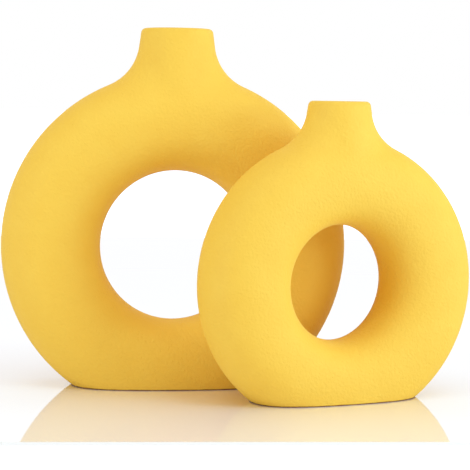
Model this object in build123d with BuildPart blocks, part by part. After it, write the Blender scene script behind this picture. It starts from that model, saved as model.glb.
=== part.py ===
from build123d import *
import math
import os
from dataclasses import dataclass

# A pair of donut vases in millimetres: a large one, and a small one that stands turned in front of it.
# Each is a slip-cast ceramic ring that stands on a flat cut foot and is hollow all the way round.
# A short neck tapers up to a round mouth and flares down onto the crown of the ring.
# A coat of glaze lines the inside of each, so that the clay holds water.

# Large vase
LARGE_RING_RADIUS = 79.5
LARGE_TUBE_HALF_WIDTH = 31.4
LARGE_TUBE_HALF_DEPTH = 31.0
LARGE_FOOT_CUT = 20.9
LARGE_NECK_RISE = 27.7
LARGE_MOUTH_RADIUS = 22.7
LARGE_COLLAR = 11.5

# Small vase
SMALL_RING_RADIUS = 63.3
SMALL_TUBE_HALF_WIDTH = 27.4
SMALL_TUBE_HALF_DEPTH = 27.0
SMALL_FOOT_CUT = 18.3
SMALL_NECK_RISE = 21.2
SMALL_MOUTH_RADIUS = 18.8
SMALL_COLLAR = 6.0

# Where the small vase stands, seen from the large one, and how far it is turned in degrees
SMALL_ASIDE = 92.8
SMALL_FORWARD = 64.1
SMALL_TURN = 16.4

# Clay body of both vases
WALL = 5.0
FLOOR = 6.5
FOOT_ROUND = 0.8
FOOT_RIM = 8.0
FOOT_HOLLOW = 1.2

# Glaze lining of both vases
GLAZE = 0.5
GLAZE_SEAT = 0.02
GLAZE_BELOW_MOUTH = 4.0

# How full the tube's section is: 0.552 would be an ellipse, and 1 nearly a square
FULLNESS_SHARE = 0.652
# How wide the neck's cone is at its root, against the half depth of the tube that it grows from
NECK_ROOT_SHARE = 0.985
# How much of the wall's thickness the lip's rounding takes, outside and inside
LIP_ROUND_SHARE = 0.62
LIP_ROUND_INSIDE_SHARE = 0.3

# How far the neck's form runs on above the mouth, and its cuts with it
OVERRUN = 3.0


@dataclass(frozen=True)
class Vase:
    """The sizes of one vase, which stands on z = 0 with the axis of its ring along Y."""

    ring_radius: float
    half_width: float
    half_depth: float
    foot_cut: float
    neck_rise: float
    mouth_radius: float
    collar: float

    @property
    def outer_radius(self):
        return self.ring_radius + self.half_width

    @property
    def centre_height(self):
        return self.outer_radius - self.foot_cut

    @property
    def tube_height(self):
        """Height of the tube's own centre at the crown of the ring, where the neck is rooted."""
        return self.centre_height + self.ring_radius

    @property
    def height(self):
        return self.centre_height + self.outer_radius + self.neck_rise

    @property
    def neck_root_radius(self):
        return NECK_ROOT_SHARE * self.half_depth

    @property
    def flare_radius(self):
        """Radius of the arc that leaves the neck below its collar and lands tangent on the ring."""
        side = Vector(self.mouth_radius - self.neck_root_radius, self.height - self.tube_height)
        outward = Vector(side.Y, -side.X).normalized()
        up = self.height - self.collar - self.centre_height
        across = self.mouth_radius - self.collar * side.X / side.Y
        gap = across**2 + up**2 - self.outer_radius**2
        return gap / (2 * (self.outer_radius - across * outward.X - up * outward.Y))


LARGE = Vase(
    LARGE_RING_RADIUS,
    LARGE_TUBE_HALF_WIDTH,
    LARGE_TUBE_HALF_DEPTH,
    LARGE_FOOT_CUT,
    LARGE_NECK_RISE,
    LARGE_MOUTH_RADIUS,
    LARGE_COLLAR,
)
SMALL = Vase(
    SMALL_RING_RADIUS,
    SMALL_TUBE_HALF_WIDTH,
    SMALL_TUBE_HALF_DEPTH,
    SMALL_FOOT_CUT,
    SMALL_NECK_RISE,
    SMALL_MOUTH_RADIUS,
    SMALL_COLLAR,
)


def quarter_form(vase, inset, bottom, top):
    """A quarter of the vase's closed form, taken in by inset on every side, from bottom up to top."""
    half_width = vase.half_width - inset
    half_depth = vase.half_depth - inset
    with BuildPart() as form:
        # Half of the tube's section, swept round the quarter of the ring above its centre.
        with BuildSketch(Plane.XY.offset(vase.centre_height)) as section:
            with BuildLine():
                outer_side = Bezier(
                    (vase.ring_radius + half_width, 0),
                    (vase.ring_radius + half_width, FULLNESS_SHARE * half_depth),
                    (vase.ring_radius + FULLNESS_SHARE * half_width, half_depth),
                    (vase.ring_radius, half_depth),
                )
                inner_side = mirror(outer_side, about=Plane.YZ.offset(vase.ring_radius))
                Line(outer_side @ 0, inner_side @ 0)
            make_face()
        centre = (0, 0, vase.centre_height)
        revolve(axis=Axis(centre, (0, -1, 0)), revolution_arc=90)
        # The neck's cone, which the flare then blends into the crown of the ring.
        with BuildSketch(Plane.XZ):
            with BuildLine():
                Polyline(
                    (0, vase.tube_height),
                    (vase.neck_root_radius - inset, vase.tube_height),
                    (vase.mouth_radius - inset, vase.height),
                    (vase.mouth_radius - inset, vase.height + OVERRUN),
                    (0, vase.height + OVERRUN),
                    close=True,
                )
            make_face()
        revolve(axis=Axis.Z, revolution_arc=90)
        # Of the edges above the tube's centre, only the seam of neck and ring goes round
        # the neck and changes height as it goes, so it alone fills a box with some volume.
        crown = form.edges().filter_by(lambda edge: edge.bounding_box().min.Z > vase.tube_height)
        seam = crown.sort_by(lambda edge: math.prod(edge.bounding_box().size))[-1]
        fillet(seam, radius=vase.flare_radius + inset)
        # The quarter of the ring below its centre.
        revolve(section.sketch, axis=Axis(centre, (0, 1, 0)), revolution_arc=90)
        split(bisect_by=Plane.XY.offset(bottom), keep=Keep.TOP)
        split(bisect_by=Plane.XY.offset(top), keep=Keep.BOTTOM)
    return form.part


def shell(vase):
    """The fired clay body: hollow ring and neck, rounded lip, and a foot that stands on its rim."""
    with BuildPart() as body:
        add(quarter_form(vase, 0, 0, vase.height))
        foot = body.faces().sort_by(Axis.Z)[0]
        fillet(foot.edges().filter_by(GeomType.LINE, reverse=True), radius=FOOT_ROUND)
        add(quarter_form(vase, WALL, FLOOR, vase.height + OVERRUN), mode=Mode.SUBTRACT)
        add(quarter_form(vase, FOOT_RIM, 0, FOOT_HOLLOW), mode=Mode.SUBTRACT)
        mouth = body.edges().group_by(Axis.Z)[-1].filter_by(GeomType.CIRCLE)
        lip_inside, lip = mouth.sort_by(SortBy.RADIUS)
        fillet(lip, radius=LIP_ROUND_SHARE * WALL)
        fillet(lip_inside, radius=LIP_ROUND_INSIDE_SHARE * WALL)
        mirror(about=Plane.XZ)
        mirror(about=Plane.YZ)
    return body.part


def lining(vase):
    """The glaze coat, from the floor of the hollow up to a line inside the mouth."""
    inset = WALL + GLAZE_SEAT
    floor = FLOOR + GLAZE_SEAT
    with BuildPart() as coat:
        add(quarter_form(vase, inset, floor, vase.height - GLAZE_BELOW_MOUTH))
        add(quarter_form(vase, inset + GLAZE, floor + GLAZE, vase.height), mode=Mode.SUBTRACT)
        mirror(about=Plane.XZ)
        mirror(about=Plane.YZ)
    return coat.part


# The pair is centred on the box that holds both vases, with the large one square to it.
beside = Location((SMALL_ASIDE, -SMALL_FORWARD, 0), (0, 0, SMALL_TURN))
large_shell = shell(LARGE)
small_shell = shell(SMALL).moved(beside)
middle = Compound([large_shell, small_shell]).bounding_box().center()
centred = Location((-middle.X, -middle.Y, 0))

os.makedirs("parts", exist_ok=True)
for name, piece in (
    ("large_vase_body", large_shell),
    ("large_vase_glaze_lining", lining(LARGE)),
    ("small_vase_body", small_shell),
    ("small_vase_glaze_lining", lining(SMALL).moved(beside)),
):
    with BuildPart() as part:
        add(piece.moved(centred))
    part.part.label = name
    export_step(part.part, f"parts/{name}.step")
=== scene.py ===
"""A pair of donut vases in matt-glazed stoneware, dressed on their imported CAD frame.

Each vase is a slip-cast ring that stands on a flat foot and ends in a short open neck. The
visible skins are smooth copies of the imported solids, so every size stays where the CAD has it.
"""

import math

import bmesh
import bpy
from bpy.props import FloatProperty, FloatVectorProperty, PointerProperty
from mathutils import Euler, Matrix, Vector


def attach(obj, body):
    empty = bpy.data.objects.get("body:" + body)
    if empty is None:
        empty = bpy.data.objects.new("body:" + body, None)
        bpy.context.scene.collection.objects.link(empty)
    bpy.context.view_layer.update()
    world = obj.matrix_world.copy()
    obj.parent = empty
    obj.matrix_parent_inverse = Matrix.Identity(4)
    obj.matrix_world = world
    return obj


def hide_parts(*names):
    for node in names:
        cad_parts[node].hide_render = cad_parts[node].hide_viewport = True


bl_info = {
    "name": "Donut Vases",
    "version": (1, 0, 0),
    "blender": (4, 5, 0),
    "location": "View3D > Sidebar > Donut Vases",
    "description": "Dresses a packed pair of ring-shaped stoneware vases and their studio table",
    "category": "Object",
}

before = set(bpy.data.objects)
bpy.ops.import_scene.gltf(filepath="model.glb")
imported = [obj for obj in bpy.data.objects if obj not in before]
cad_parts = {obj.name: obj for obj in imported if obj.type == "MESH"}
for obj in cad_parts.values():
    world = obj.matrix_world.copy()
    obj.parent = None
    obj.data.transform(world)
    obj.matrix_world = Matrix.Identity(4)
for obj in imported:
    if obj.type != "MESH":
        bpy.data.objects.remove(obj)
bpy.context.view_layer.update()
MM = 0.001

VASES = "large_vase", "small_vase"

# Corners of a CAD mesh that lie closer together than this are one corner
MERGED_WITHIN = 0.001 * MM
# Faces that meet at more than this angle keep a sharp edge
SHARP_ANGLE = math.radians(40)

# Width of a cloud of thicker spray in the matt glaze
CLOUD = 18 * MM
# Distance from one grain of grog to the next, and the shares of it, from a grain's middle,
# at which the grain starts to fade and is gone
GROG = 1.5 * MM
GROG_FULL_SHARE = 0.2
GROG_GONE_SHARE = 0.35
# The sponge's line round the foot, under which dark clay paints the foot's contact shadow:
# length and height of its waves, and half its soft edge
SPONGE_WAVE = 9 * MM
SPONGE_RISE = 0.5 * MM
SPONGE_BLUR = 0.1 * MM
# Length of a run in the gloss glaze, and how far it stands out
RUN = 11 * MM
RUN_HEIGHT = 0.3 * MM

BOARD_THICKNESS = 2 * MM
PAPER_REACH = 20.0
# How far round itself the stage's white looks for what stands on it, and the open shares of
# the sky at which its lift sets in and is full. Less lift is painted shade round the vases.
LIFT_REACH = 400 * MM
LIFT_NONE_SHARE = 0.45
LIFT_FULL_SHARE = 0.95
# Height on the vases that the softboxes point at
LIGHT_AIM = 0.1
SENSOR_WIDTH_MM = 36

# Softboxes of the studio: name, degrees round from the camera, anticlockwise as seen from
# above, degrees above the table, and strength
SOFTBOXES = (
    ("right_low", 60, 6, 0.239),
    ("right_side", 90, 6, 0.206),
    ("right_high", 60, 32, 0.151),
    ("left_low", -60, 6, 0.282),
    ("top_left", -30, 62, 0.121),
    ("top_right", 30, 62, 0.162),
)


def linear(hex_colour):
    """An sRGB hex colour as the linear red, green and blue that Blender works in."""
    # The numbers are those of the sRGB standard's own curve.
    shares = [int(hex_colour[start : start + 2], 16) / 255 for start in (1, 3, 5)]
    return [s / 12.92 if s <= 0.04045 else ((s + 0.055) / 1.055) ** 2.4 for s in shares]


class StonewareSettings(bpy.types.PropertyGroup):
    """The clay bodies and their matt glaze."""

    coat: FloatVectorProperty(
        name="Matt glaze",
        description="Colour of the matt glaze",
        subtype="COLOR",
        default=linear("#F8CE50"),
    )
    coat_thick: FloatVectorProperty(
        name="Thick matt glaze",
        description="Colour of the matt glaze where the spray lies thickest",
        subtype="COLOR",
        default=linear("#F5C748"),
    )
    coat_thin: FloatVectorProperty(
        name="Thin matt glaze",
        description="Colour of the matt glaze where it ran thin over the crest of the lip",
        subtype="COLOR",
        default=linear("#F8D460"),
    )
    grain: FloatProperty(
        name="Grain",
        description="Distance from one grain of the matt glaze to the next",
        unit="LENGTH",
        default=1.7 * MM,
    )
    grain_depth: FloatProperty(
        name="Grain depth",
        description="Depth of the pits between the grains of the matt glaze",
        unit="LENGTH",
        default=0.52 * MM,
    )
    lip: FloatProperty(
        name="Thin lip",
        description="How far below the mouth the matt glaze is thin",
        unit="LENGTH",
        default=1.2 * MM,
    )
    # Also how high the painted contact shadow along the foot reaches
    wiped: FloatProperty(
        name="Wiped foot",
        description="How far above the board the foot was wiped clean of glaze",
        unit="LENGTH",
        default=0.6 * MM,
    )
    # Real bare clay, kept dark brown so that it also paints the contact shadow along the foot
    clay: FloatVectorProperty(
        name="Bare clay",
        description="Colour of the fired clay where the foot was wiped clean of glaze",
        subtype="COLOR",
        default=linear("#8E4C18"),
    )
    grog: FloatVectorProperty(
        name="Grog",
        description="Colour of the coarse grains of grog in the bare clay",
        subtype="COLOR",
        default=linear("#5C3012"),
    )


class LiningSettings(bpy.types.PropertyGroup):
    """The gloss glaze that lines the hollow of both vases."""

    thin: FloatVectorProperty(
        name="Thin gloss glaze",
        description="Colour of the poured glaze where it ran thin over the clay",
        subtype="COLOR",
        default=linear("#EDBF57"),
    )
    pooled: FloatVectorProperty(
        name="Pooled gloss glaze",
        description="Colour of the poured glaze where it pooled",
        subtype="COLOR",
        default=linear("#C98C2B"),
    )


class StageSettings(bpy.types.PropertyGroup):
    """The board that the vases stand on, the light and the camera."""

    board_front: FloatProperty(
        name="Board front",
        description="Distance from the middle of the pair to the board's front edge",
        unit="LENGTH",
        default=0.162,
    )
    board_width: FloatProperty(
        name="Board width",
        description="Width of the board",
        unit="LENGTH",
        default=3.0,
    )
    board_depth: FloatProperty(
        name="Board depth",
        description="Distance from the board's front edge to its back edge",
        unit="LENGTH",
        default=1.4,
    )
    board_turn: FloatProperty(
        name="Board turn",
        description="How far the board is turned on the table",
        subtype="ANGLE",
        default=math.radians(-4.16),
    )
    board_colour: FloatVectorProperty(
        name="Board colour",
        description="Colour of the board",
        subtype="COLOR",
        default=linear("#F7F5F4"),
    )
    board_lift: FloatVectorProperty(
        name="Board lift",
        description="Colour added to the board where the eye sees it, against the warm fill",
        subtype="COLOR",
        default=linear("#586D86"),
    )
    paper_colour: FloatVectorProperty(
        name="Paper colour",
        description="Colour of the paper under the board",
        subtype="COLOR",
        default=linear("#EFF5FF"),
    )
    paper_lift: FloatVectorProperty(
        name="Paper lift",
        description="Colour added to the paper where the eye sees it, against the warm fill",
        subtype="COLOR",
        default=linear("#CCE1FF"),
    )
    softbox_colour: FloatVectorProperty(
        name="Softbox colour",
        description="Colour of the light from the softboxes",
        subtype="COLOR",
        default=linear("#CBEDFF"),
    )
    softbox_distance: FloatProperty(
        name="Softbox distance",
        description="Distance from the vases to each softbox",
        unit="LENGTH",
        default=1.5,
    )
    softbox_size: FloatProperty(
        name="Softbox size",
        description="Width of each round softbox",
        unit="LENGTH",
        default=0.55,
    )
    fill_colour: FloatVectorProperty(
        name="Fill colour",
        description="Colour of the light that the studio's walls throw back",
        subtype="COLOR",
        default=linear("#FFE5C5"),
    )
    fill: FloatProperty(
        name="Fill",
        description="Strength of the light from the studio's walls, where 1 is white",
        default=0.69,
    )
    camera_place: FloatVectorProperty(
        name="Camera place",
        description="Where the camera stands",
        subtype="TRANSLATION",
        unit="LENGTH",
        default=(-0.1810, -1.1072, 0.1857),
    )
    camera_down: FloatProperty(
        name="Camera down",
        description="How far the camera looks down",
        subtype="ANGLE",
        default=0.0766,
    )
    camera_turn: FloatProperty(
        name="Camera turn",
        description="How far the camera looks to the left of the vases' own front",
        subtype="ANGLE",
        default=-0.1602,
    )
    camera_roll: FloatProperty(
        name="Camera roll",
        description="How far the camera is tilted anticlockwise",
        subtype="ANGLE",
        default=0.0168,
    )
    camera_lens: FloatProperty(
        name="Camera lens",
        description="Focal length on a sensor 36 mm wide",
        unit="CAMERA",
        default=137.7,
    )


def add_node(tree, kind, settings=None, links=None):
    """Adds a shader node, with its settings and input values, and links its inputs."""
    node = tree.nodes.new(kind)
    for name, value in (settings or {}).items():
        if isinstance(name, int) or name in node.inputs:
            node.inputs[name].default_value = value
        else:
            setattr(node, name, value)
    for name, socket in (links or {}).items():
        tree.links.new(socket, node.inputs[name])
    return node


def new_tree(block):
    """The node tree of a new material or world, emptied."""
    block.use_nodes = True
    block.node_tree.nodes.clear()
    return block.node_tree


def blend(tree, factor, low, high):
    """A colour that goes from low to high as factor goes from 0 to 1.

    Low and high are each a colour or another node's output.
    """
    values, links = {"data_type": "RGBA"}, {0: factor}
    # A Mix node has sockets for every type of data. 6 and 7 in and 2 out are its colours.
    for socket, colour in ((6, low), (7, high)):
        if isinstance(colour, bpy.types.NodeSocket):
            links[socket] = colour
        else:
            values[socket] = (*colour, 1)
    return add_node(tree, "ShaderNodeMix", values, links).outputs[2]


def matt_glaze(look):
    """Matt-glazed stoneware. The glaze is sprayed on thick and fired dry, so it has hardly any
    gloss: light falls off evenly, and only a fine grain of pits shows where light rakes it. The
    foot was wiped before firing, so the brown clay with its grog shows in a thin uneven line,
    kept dark so that it also paints the contact shadow where the foot meets the board."""
    material = bpy.data.materials.new("matt_glazed_stoneware")
    tree = new_tree(material)
    place = add_node(tree, "ShaderNodeTexCoord").outputs["Object"]
    # Clouds of thicker spray, as wide as the gun's fan leaves them
    cloud = add_node(
        tree, "ShaderNodeTexNoise", {"Scale": 1 / CLOUD, "Detail": 2}, {"Vector": place}
    ).outputs["Fac"]
    # The glaze's own grain is a few tenths of a millimetre, too fine to show. It is drawn
    # coarser, so that it does.
    grain = add_node(
        tree,
        "ShaderNodeTexNoise",
        {"Scale": 1 / look.grain, "Detail": 3, "Roughness": 0.55},
        {"Vector": place},
    ).outputs["Fac"]
    thin = add_node(tree, "ShaderNodeAttribute", {"attribute_name": "thin_coat"}).outputs["Fac"]
    coat = blend(tree, thin, blend(tree, cloud, look.coat, look.coat_thick), look.coat_thin)
    # Grains of grog in the bare clay
    speck = add_node(
        tree, "ShaderNodeTexVoronoi", {"Scale": 1 / GROG}, {"Vector": place}
    ).outputs["Distance"]
    grog = add_node(
        tree,
        "ShaderNodeMapRange",
        {"From Min": GROG_GONE_SHARE, "From Max": GROG_FULL_SHARE},
        {"Value": speck},
    ).outputs[0]
    # Height above the board, with the sponge's uneven line in it
    rise = add_node(tree, "ShaderNodeSeparateXYZ", links={0: place}).outputs["Z"]
    sponge = add_node(
        tree, "ShaderNodeTexNoise", {"Scale": 1 / SPONGE_WAVE, "Detail": 1}, {"Vector": place}
    ).outputs["Fac"]
    uneven = add_node(
        tree,
        "ShaderNodeMath",
        {"operation": "MULTIPLY_ADD", 1: -SPONGE_RISE},
        {0: sponge, 2: rise},
    ).outputs[0]
    edge = look.wiped - SPONGE_RISE / 2
    wiped = add_node(
        tree,
        "ShaderNodeMapRange",
        {"From Min": edge + SPONGE_BLUR, "From Max": edge - SPONGE_BLUR},
        {"Value": uneven},
    ).outputs[0]
    # Under the sponge's line the bare clay shows, its dark brown painting the foot's contact
    # shadow
    skin = blend(tree, wiped, coat, blend(tree, grog, look.clay, look.grog))
    height = add_node(
        tree, "ShaderNodeBump", {"Strength": 1, "Distance": look.grain_depth}, {"Height": grain}
    ).outputs["Normal"]
    surface = add_node(
        tree,
        "ShaderNodeBsdfPrincipled",
        {"Roughness": 0.65, "IOR": 1.5, "Specular IOR Level": 0.35},
        {"Base Color": skin, "Normal": height},
    )
    add_node(tree, "ShaderNodeOutputMaterial", links={"Surface": surface.outputs[0]})
    return material


def gloss_glaze(look):
    """A clear honey glaze, poured round the hollow: glassy, slightly wavy where it ran, and
    darker where it pooled."""
    material = bpy.data.materials.new("gloss_glaze")
    tree = new_tree(material)
    place = add_node(tree, "ShaderNodeTexCoord").outputs["Object"]
    run = add_node(
        tree, "ShaderNodeTexNoise", {"Scale": 1 / RUN, "Detail": 2}, {"Vector": place}
    ).outputs["Fac"]
    height = add_node(
        tree, "ShaderNodeBump", {"Strength": 1, "Distance": RUN_HEIGHT}, {"Height": run}
    ).outputs["Normal"]
    surface = add_node(
        tree,
        "ShaderNodeBsdfPrincipled",
        {"Roughness": 0.12, "IOR": 1.52},
        {"Base Color": blend(tree, run, look.thin, look.pooled), "Normal": height},
    )
    add_node(tree, "ShaderNodeOutputMaterial", links={"Surface": surface.outputs[0]})
    return material


def seen(tree):
    """1 for what the camera sees, straight or in a mirror or glass, and 0 for light."""
    path = add_node(tree, "ShaderNodeLightPath").outputs
    share = path["Is Camera Ray"]
    for mirrored in ("Is Glossy Ray", "Is Transmission Ray"):
        share = add_node(
            tree, "ShaderNodeMath", {"operation": "MAXIMUM"}, {0: share, 1: path[mirrored]}
        ).outputs[0]
    return share


def stage_white(name, white, lift, settings):
    """A white of the stage, which is seen lifted so that it reads as pure white. The lift
    fades towards what stands on it, so that a foot keeps its shadow and its dark line; the
    fading paints shade on the white round and in front of the vases."""
    material = bpy.data.materials.new(name)
    tree = new_tree(material)
    # Where the vases hide the sky the lift is less, which paints shade on the white round them
    sky = add_node(tree, "ShaderNodeAmbientOcclusion", {"Distance": LIFT_REACH}).outputs["AO"]
    free = add_node(
        tree,
        "ShaderNodeMapRange",
        {"From Min": LIFT_NONE_SHARE, "From Max": LIFT_FULL_SHARE},
        {"Value": sky},
    ).outputs[0]
    lift_with_painted_shade = add_node(
        tree, "ShaderNodeMath", {"operation": "MULTIPLY"}, {0: seen(tree), 1: free}
    ).outputs[0]
    surface = add_node(
        tree,
        "ShaderNodeBsdfPrincipled",
        {"Base Color": (*white, 1), "Emission Color": (*lift, 1), **settings},
        {"Emission Strength": lift_with_painted_shade},
    )
    add_node(tree, "ShaderNodeOutputMaterial", links={"Surface": surface.outputs[0]})
    return material


def new_object(name, form, material):
    """An object in the scene, made of a bmesh, which it frees."""
    mesh = bpy.data.meshes.new(name)
    form.to_mesh(mesh)
    form.free()
    mesh.materials.append(material)
    piece = bpy.data.objects.new(name, mesh)
    bpy.context.scene.collection.objects.link(piece)
    return piece


def merged_copy(node):
    """A bmesh of a CAD node, with the loose triangles of its mesh joined up and smooth."""
    form = bmesh.new()
    form.from_mesh(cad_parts[node].data)
    bmesh.ops.remove_doubles(form, verts=form.verts, dist=MERGED_WITHIN)
    for face in form.faces:
        face.smooth = True
    return form


def finish_piece(piece, node):
    """Sharpens the real corners of a piece, and puts it in its CAD node's place."""
    piece.data.set_sharp_from_angle(angle=SHARP_ANGLE)
    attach(piece, "root")
    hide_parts(node)


class DONUT_OT_bodies(bpy.types.Operator):
    """Dress both clay bodies in matt glaze, down to their wiped feet"""

    bl_idname = "donut.bodies"
    bl_label = "Vase bodies"

    def execute(self, context):
        look = context.scene.donut_stoneware
        material = matt_glaze(look)
        for vase in VASES:
            node = f"{vase}_body"
            form = merged_copy(node)
            mouth = max(vert.co.z for vert in form.verts)
            thin_coat = form.verts.layers.float.new("thin_coat")
            for vert in form.verts:
                vert[thin_coat] = max(0, 1 - (mouth - vert.co.z) / look.lip)
            piece = new_object(f"{vase}_stoneware", form, material)
            finish_piece(piece, node)
        return {"FINISHED"}


class DONUT_OT_linings(bpy.types.Operator):
    """Dress both glaze linings in gloss glaze"""

    bl_idname = "donut.linings"
    bl_label = "Glaze linings"

    def execute(self, context):
        material = gloss_glaze(context.scene.donut_lining)
        for vase in VASES:
            node = f"{vase}_glaze_lining"
            piece = new_object(f"{vase}_glaze", merged_copy(node), material)
            finish_piece(piece, node)
        return {"FINISHED"}


class DONUT_OT_stage(bpy.types.Operator):
    """Set up the paper table, the polished board, the light and the camera"""

    bl_idname = "donut.stage"
    bl_label = "Stage"

    def execute(self, context):
        look = context.scene.donut_stage
        set_floor(look)
        set_light(context.scene, look)
        set_camera(context.scene, look)
        context.scene.view_settings.view_transform = "Standard"
        return {"FINISHED"}


def set_floor(look):
    """A polished acrylic board, whose front edge runs in front of the vases, on white paper.

    The board's polish mirrors the vases faintly, and the paper is matt.
    """
    turn = Matrix.Rotation(look.board_turn, 4, "Z")
    board = bmesh.new()
    bmesh.ops.create_cube(board, size=1)
    size = (look.board_width, look.board_depth, BOARD_THICKNESS)
    bmesh.ops.scale(board, vec=size, verts=board.verts)
    middle = Vector((0, look.board_depth / 2 - look.board_front, -BOARD_THICKNESS / 2))
    bmesh.ops.transform(board, matrix=turn @ Matrix.Translation(middle), verts=board.verts)
    polish = {"Roughness": 0.03, "IOR": 1.49, "Coat Weight": 0.6, "Coat Roughness": 0.03}
    acrylic = stage_white("polished_acrylic", look.board_colour, look.board_lift, polish)
    paper = bmesh.new()
    bmesh.ops.create_grid(paper, x_segments=1, y_segments=1, size=PAPER_REACH)
    bmesh.ops.translate(paper, vec=(0, 0, -BOARD_THICKNESS), verts=paper.verts)
    matt = {"Roughness": 1.0}
    card = stage_white("matt_white_paper", look.paper_colour, look.paper_lift, matt)
    new_object("board", board, acrylic)
    new_object("paper", paper, card)


def set_light(scene, look):
    """Round softboxes about the vases, and white studio walls all round."""
    aim = Vector((0, 0, LIGHT_AIM))
    front = Vector(look.camera_place) - aim
    for name, around, above, strength in SOFTBOXES:
        light = bpy.data.lights.new(name, "AREA")
        light.shape = "DISK"
        light.size = look.softbox_size
        light.color = look.softbox_colour
        # At this energy a white card at the vases, turned to the softbox, renders at strength.
        light.energy = strength * (math.pi * look.softbox_distance) ** 2
        turn = math.atan2(front.y, front.x) + math.radians(around)
        rise = math.radians(above)
        level = Vector((math.cos(turn), math.sin(turn), 0))
        away = math.cos(rise) * level + math.sin(rise) * Vector((0, 0, 1))
        softbox = bpy.data.objects.new(name, light)
        place = Matrix.Translation(aim + away * look.softbox_distance)
        softbox.matrix_world = place @ away.to_track_quat("Z", "Y").to_matrix().to_4x4()
        softbox.visible_camera = False
        scene.collection.objects.link(softbox)

    # The walls are pure white to the camera and in mirrors, and throw back a plain fill.
    scene.world = bpy.data.worlds.new("studio_walls")
    tree = new_tree(scene.world)
    fill = add_node(
        tree, "ShaderNodeBackground", {"Color": (*look.fill_colour, 1), "Strength": look.fill}
    )
    white = add_node(tree, "ShaderNodeBackground", {"Color": (1, 1, 1, 1), "Strength": 1})
    walls = add_node(
        tree,
        "ShaderNodeMixShader",
        links={0: seen(tree), 1: fill.outputs[0], 2: white.outputs[0]},
    )
    add_node(tree, "ShaderNodeOutputWorld", links={"Surface": walls.outputs[0]})


def set_camera(scene, look):
    """The photograph's camera."""
    data = bpy.data.cameras.new("camera")
    data.sensor_width = SENSOR_WIDTH_MM
    data.lens = look.camera_lens
    camera = bpy.data.objects.new("camera", data)
    aim = Euler((math.pi / 2 - look.camera_down, 0, look.camera_turn)).to_matrix()
    aim @= Matrix.Rotation(look.camera_roll, 3, "Z")
    camera.matrix_world = Matrix.Translation(look.camera_place) @ aim.to_4x4()
    scene.collection.objects.link(camera)
    scene.camera = camera


OPERATORS = DONUT_OT_bodies, DONUT_OT_linings, DONUT_OT_stage
GROUPS = {
    "donut_stoneware": StonewareSettings,
    "donut_lining": LiningSettings,
    "donut_stage": StageSettings,
}


class DONUT_PT_panel(bpy.types.Panel):
    """The settings and the pieces of the vases and their stage"""

    bl_idname = "DONUT_PT_panel"
    bl_label = "Donut Vases"
    bl_space_type = "VIEW_3D"
    bl_region_type = "UI"
    bl_category = "Donut Vases"

    def draw(self, context):
        for (name, group), operator in zip(GROUPS.items(), OPERATORS):
            box = self.layout.box()
            for setting in group.__annotations__:
                box.prop(getattr(context.scene, name), setting)
            box.operator(operator.bl_idname)


def register():
    for item in (*GROUPS.values(), *OPERATORS, DONUT_PT_panel):
        bpy.utils.register_class(item)
    for name, group in GROUPS.items():
        setattr(bpy.types.Scene, name, PointerProperty(type=group))


def unregister():
    for name in GROUPS:
        delattr(bpy.types.Scene, name)
    for item in (DONUT_PT_panel, *OPERATORS, *GROUPS.values()):
        bpy.utils.unregister_class(item)


def main():
    register()
    bpy.ops.donut.bodies()
    bpy.ops.donut.linings()
    bpy.ops.donut.stage()


if __name__ == "__main__":
    main()
